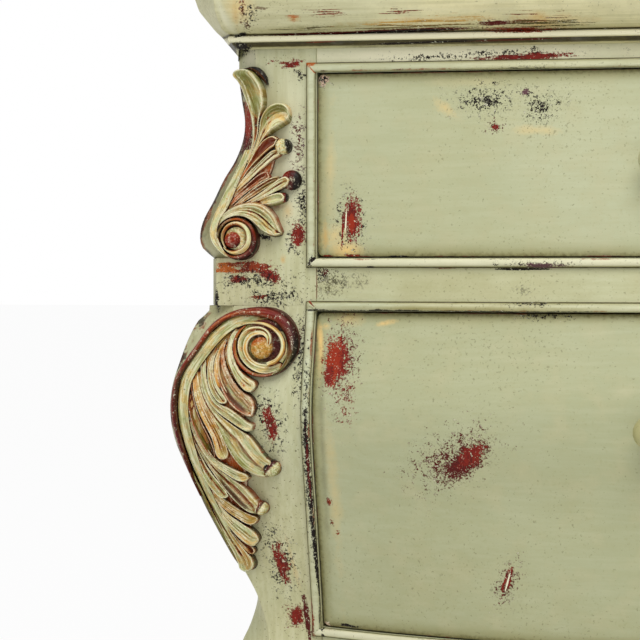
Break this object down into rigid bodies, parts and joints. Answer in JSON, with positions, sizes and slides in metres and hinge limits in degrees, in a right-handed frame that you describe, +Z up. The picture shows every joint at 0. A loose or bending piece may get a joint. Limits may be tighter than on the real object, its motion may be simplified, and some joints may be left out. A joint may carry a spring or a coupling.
{
  "type": "bombe chest",
  "caption": "Painted bombe chest: swelling posts with carved acanthus consoles, moulded cornice and two wide drawers that slide.",
  "frame": {"origin": "middle of the chest's box in X and Y, on the floor under the feet", "axes": "+Z up, the drawers face -Y, +X to the right of someone who faces the front"},
  "size_m": [1.308, 0.5381, 0.85],
  "materials": {
    "painted_green": "distressed sage green paint over a red-brown ground, satin",
    "carved_glaze": "carved wood in cream-green paint with rubbed umber and rust glaze in the hollows",
    "raw_wood": "planed bare wood",
    "knob_paint": "turned wood in darker sage green, rubbed to the ground on its rim"
  },
  "bodies": {
    "carcase": {"left_front_post": "painted_green", "right_front_post": "painted_green", "left_rear_post": "painted_green", "right_rear_post": "painted_green", "left_side_panel": "painted_green", "right_side_panel": "painted_green", "bottom_rail": "painted_green", "middle_rail": "painted_green", "top_rail": "painted_green", "left_lower_bead": "painted_green", "right_lower_bead": "painted_green", "left_upper_bead": "painted_green", "right_upper_bead": "painted_green", "lower_bead_below": "painted_green", "lower_bead_above": "painted_green", "upper_bead_below": "painted_green", "upper_bead_above": "painted_green", "cornice_front": "painted_green", "left_cornice_corner": "painted_green", "right_cornice_corner": "painted_green", "left_cornice_side": "painted_green", "right_cornice_side": "painted_green", "top_board": "painted_green", "back_panel": "raw_wood", "bottom_board": "raw_wood", "dust_board": "raw_wood", "left_lower_runner": "raw_wood", "right_lower_runner": "raw_wood", "left_upper_runner": "raw_wood", "right_upper_runner": "raw_wood", "left_lower_leaf": "carved_glaze", "right_lower_leaf": "carved_glaze", "left_upper_leaf": "carved_glaze", "right_upper_leaf": "carved_glaze"},
    "upper_drawer": {"upper_drawer_front": "painted_green", "upper_drawer_left_side": "raw_wood", "upper_drawer_right_side": "raw_wood", "upper_drawer_back": "raw_wood", "upper_drawer_bottom": "raw_wood", "upper_left_knob": "knob_paint", "upper_right_knob": "knob_paint"},
    "lower_drawer": {"lower_drawer_front": "painted_green", "lower_drawer_left_side": "raw_wood", "lower_drawer_right_side": "raw_wood", "lower_drawer_back": "raw_wood", "lower_drawer_bottom": "raw_wood", "lower_left_knob": "knob_paint", "lower_right_knob": "knob_paint"}
  },
  "joints": [
    {"name": "upper_drawer_slide", "type": "slide", "parent": "carcase", "child": "upper_drawer", "axis": [0, -1, 0], "range_m": [0, 0.3]},
    {"name": "lower_drawer_slide", "type": "slide", "parent": "carcase", "child": "lower_drawer", "axis": [0, -1, 0], "range_m": [0, 0.3]}
  ]
}
